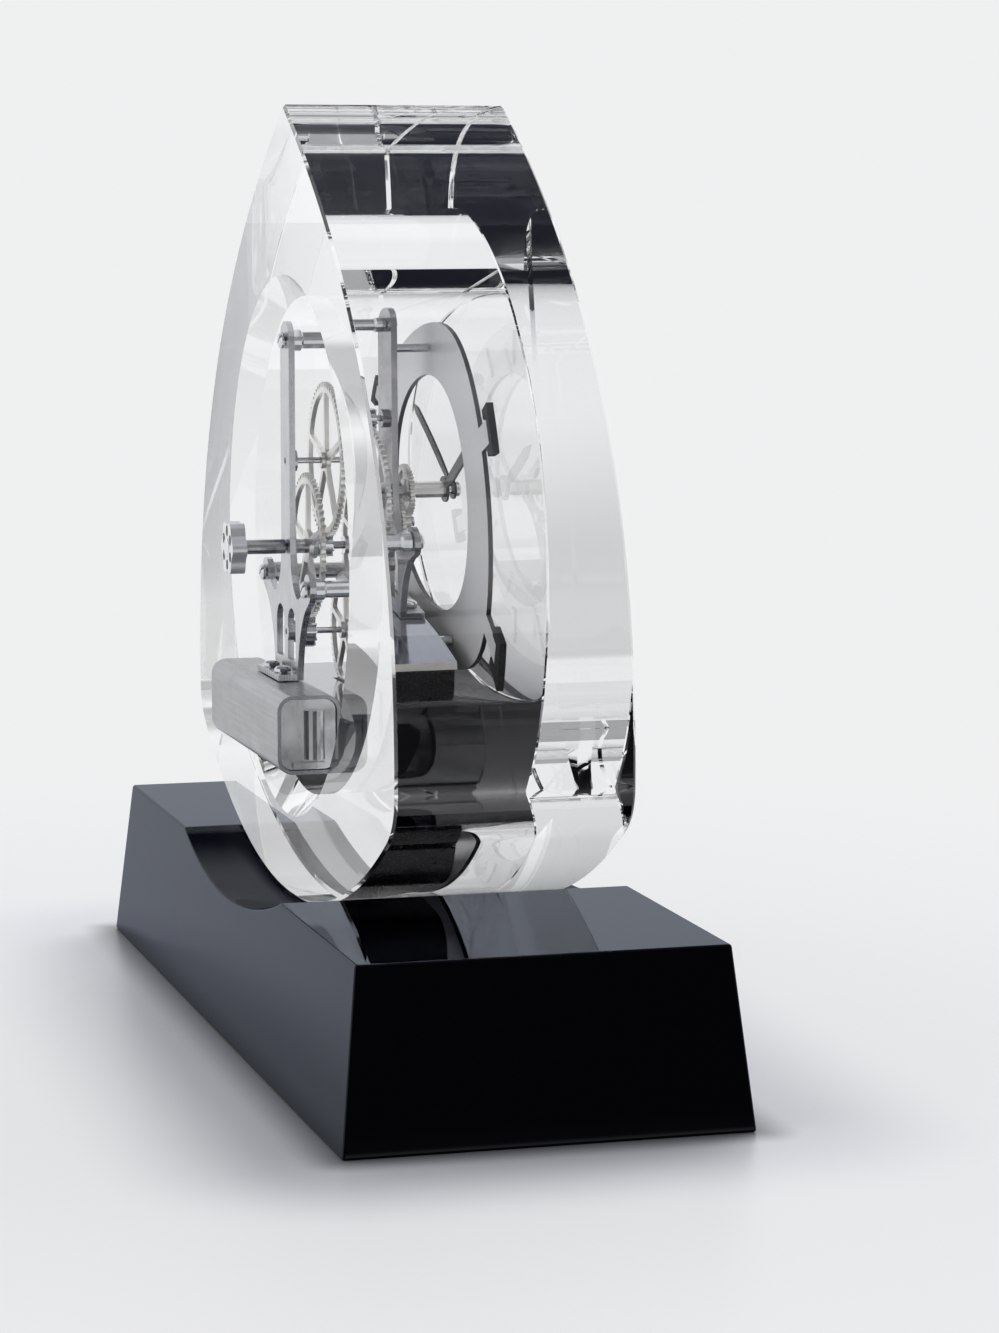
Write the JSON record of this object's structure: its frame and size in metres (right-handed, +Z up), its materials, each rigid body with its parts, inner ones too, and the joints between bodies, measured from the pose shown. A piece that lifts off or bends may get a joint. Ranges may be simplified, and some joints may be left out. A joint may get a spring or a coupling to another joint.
{
  "type": "crystal mantel clock",
  "caption": "Pear-shaped block of clear crystal with a skeleton quartz clock in its pocket, standing in the hollow of a black crystal base.",
  "frame": {"origin": "centre of the base's underside, which lies in the plane Z = 0", "axes": "+X along the base's length, +Y to the back (setting knob and battery box), -Y to the dial, +Z up"},
  "size_m": [0.29, 0.1, 0.241],
  "materials": {
    "black_crystal": "polished, opaque black",
    "clear_crystal": "polished, clear",
    "bright_steel": "polished",
    "satin_steel": "satin",
    "wheel_brass": "pale, polished",
    "black_plastic": "semi-gloss",
    "black_rubber": "matt",
    "dark_hand": "dark, glossy",
    "cell_skin": "plain dark grey"
  },
  "bodies": {
    "base": {"base_block": "black_crystal"},
    "clock_head": {"battery_cell": "cell_skin", "battery_far_cap": "black_plastic", "battery_sleeve": "satin_steel", "chapter_ring": "satin_steel", "circuit_module": "black_plastic", "contact_spring": "bright_steel", "crystal_block": "clear_crystal", "deck_plate": "wheel_brass", "dial_foot_left": "bright_steel", "dial_foot_right": "bright_steel", "dial_foot_top": "bright_steel", "front_foot_screw_left": "bright_steel", "front_foot_screw_right": "bright_steel", "front_plate": "bright_steel", "front_screw_left": "bright_steel", "front_screw_right": "bright_steel", "front_screw_top": "bright_steel", "minute_stud": "bright_steel", "motor_housing": "black_plastic", "pillar_left": "bright_steel", "pillar_right": "bright_steel", "pillar_top": "bright_steel", "rear_foot_screw_left": "bright_steel", "rear_foot_screw_right": "bright_steel", "rear_plate": "bright_steel", "rear_screw_left": "bright_steel", "rear_screw_right": "bright_steel", "rear_screw_top": "bright_steel", "ring_bumper_1": "black_rubber", "ring_bumper_2": "black_rubber", "ring_bumper_3": "black_rubber", "ring_bumper_4": "black_rubber"},
    "centre_arbor_group": {"centre_arbor": "bright_steel", "setting_knob": "bright_steel", "cannon_pinion": "bright_steel", "minute_hand": "dark_hand", "hand_nut": "bright_steel", "clutch_spring": "bright_steel", "clutch_collar": "bright_steel"},
    "minute_wheel": {"minute_wheel": "wheel_brass"},
    "hour_group": {"hour_wheel": "wheel_brass", "hour_hand": "dark_hand"},
    "seconds_group": {"seconds_wheel": "wheel_brass", "seconds_pinion": "bright_steel"},
    "third_group": {"third_arbor": "bright_steel", "third_wheel": "wheel_brass"},
    "centre_wheel": {"centre_wheel": "wheel_brass"},
    "lower_group": {"lower_arbor": "bright_steel", "lower_wheel": "wheel_brass"},
    "rotor_group": {"rotor_pinion": "bright_steel"},
    "battery_end_cap": {"battery_end_cap": "bright_steel"}
  },
  "joints": [
    {"name": "head_lift", "type": "slide", "parent": "base", "child": "clock_head", "axis": [0, 0, 1], "range_m": [0, 0.06]},
    {"name": "hand_turn", "type": "hinge", "parent": "clock_head", "child": "centre_arbor_group", "pos_m": [0, 0, 0.127], "axis": [0, 1, 0], "continuous": true},
    {"name": "minute_wheel_turn", "type": "hinge", "parent": "clock_head", "child": "minute_wheel", "pos_m": [0, 0, 0.1174], "axis": [0, 1, 0], "continuous": true},
    {"name": "hour_turn", "type": "hinge", "parent": "clock_head", "child": "hour_group", "pos_m": [0, 0, 0.127], "axis": [0, 1, 0], "continuous": true},
    {"name": "seconds_turn", "type": "hinge", "parent": "clock_head", "child": "seconds_group", "pos_m": [0, 0, 0.127], "axis": [0, 1, 0], "continuous": true},
    {"name": "third_turn", "type": "hinge", "parent": "clock_head", "child": "third_group", "pos_m": [0, 0, 0.14932], "axis": [0, 1, 0], "continuous": true},
    {"name": "centre_wheel_turn", "type": "hinge", "parent": "clock_head", "child": "centre_wheel", "pos_m": [0, 0, 0.127], "axis": [0, 1, 0], "continuous": true},
    {"name": "lower_turn", "type": "hinge", "parent": "clock_head", "child": "lower_group", "pos_m": [0, 0, 0.10468], "axis": [0, 1, 0], "continuous": true},
    {"name": "rotor_turn", "type": "hinge", "parent": "clock_head", "child": "rotor_group", "pos_m": [0, 0, 0.08718], "axis": [0, 1, 0], "continuous": true},
    {"name": "end_cap_slide", "type": "slide", "parent": "clock_head", "child": "battery_end_cap", "axis": [-1, 0, 0], "range_m": [0, 0.0035]}
  ],
  "couplings": [
    {"joint": "minute_wheel_turn", "follows": "hand_turn", "ratio": -0.33333},
    {"joint": "hour_turn", "follows": "hand_turn", "ratio": 0.083333},
    {"joint": "third_turn", "follows": "seconds_turn", "ratio": -0.125},
    {"joint": "centre_wheel_turn", "follows": "seconds_turn", "ratio": 0.016667},
    {"joint": "lower_turn", "follows": "seconds_turn", "ratio": -5},
    {"joint": "rotor_turn", "follows": "seconds_turn", "ratio": 30}
  ]
}
